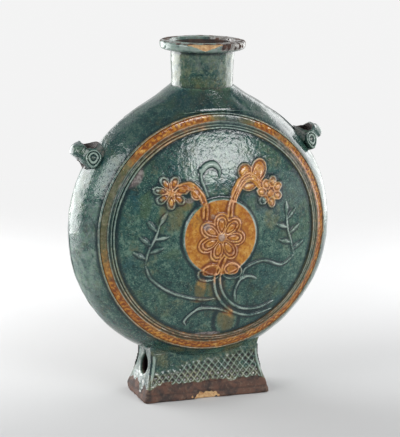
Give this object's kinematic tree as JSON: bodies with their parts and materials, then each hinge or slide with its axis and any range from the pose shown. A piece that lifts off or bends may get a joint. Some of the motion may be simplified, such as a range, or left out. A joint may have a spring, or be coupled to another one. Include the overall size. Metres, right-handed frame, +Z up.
{
  "type": "pilgrim flask",
  "caption": "Round flattened pottery flask with a flat-rimmed neck, flared hollow foot, two cord lugs and applied flower sprigs under teal and amber glaze.",
  "frame": {"origin": "middle of the underside of the foot", "axes": "+Z up, front panel faces -Y, lugs at -X and +X"},
  "size_m": [0.23, 0.1124, 0.3],
  "materials": {
    "teal_glaze": "mottled teal-green glaze, glossy, pale on raised edges and dark in the creases",
    "amber_glaze": "amber-brown glaze, glossy, pale on raised edges",
    "worn_clay": "bare grey-brown fired clay with worn glaze"
  },
  "bodies": {
    "root": {"back_boss": "amber_glaze", "back_calyx": "amber_glaze", "back_curl_sprig": "teal_glaze", "back_disc": "amber_glaze", "back_inner_bead": "teal_glaze", "back_left_branch": "amber_glaze", "back_left_flower": "amber_glaze", "back_left_leaves": "amber_glaze", "back_left_spray": "teal_glaze", "back_main_stems": "teal_glaze", "back_outer_bead": "teal_glaze", "back_petals": "amber_glaze", "back_right_branch": "amber_glaze", "back_right_flower": "amber_glaze", "back_right_leaves": "amber_glaze", "back_right_spray": "teal_glaze", "back_ring_band": "amber_glaze", "back_sepals": "amber_glaze", "back_shell": "teal_glaze", "back_side_bosses": "amber_glaze", "back_tendrils": "teal_glaze", "foot_back_lattice": "teal_glaze", "foot_back_slab": "teal_glaze", "foot_front_lattice": "teal_glaze", "foot_front_slab": "teal_glaze", "foot_left_slab": "teal_glaze", "foot_right_slab": "teal_glaze", "front_boss": "amber_glaze", "front_calyx": "amber_glaze", "front_curl_sprig": "teal_glaze", "front_disc": "amber_glaze", "front_inner_bead": "teal_glaze", "front_left_branch": "amber_glaze", "front_left_flower": "amber_glaze", "front_left_leaves": "amber_glaze", "front_left_spray": "teal_glaze", "front_main_stems": "teal_glaze", "front_outer_bead": "teal_glaze", "front_petals": "amber_glaze", "front_right_branch": "amber_glaze", "front_right_flower": "amber_glaze", "front_right_leaves": "amber_glaze", "front_right_spray": "teal_glaze", "front_ring_band": "amber_glaze", "front_sepals": "amber_glaze", "front_shell": "teal_glaze", "front_side_bosses": "amber_glaze", "front_tendrils": "teal_glaze", "left_lug": "teal_glaze", "left_lug_back_eye": "teal_glaze", "left_lug_front_eye": "teal_glaze", "neck": "teal_glaze", "right_lug": "teal_glaze", "right_lug_back_eye": "teal_glaze", "right_lug_front_eye": "teal_glaze", "rim": "worn_clay", "shoulder_collar": "teal_glaze"}
  },
  "joints": []
}
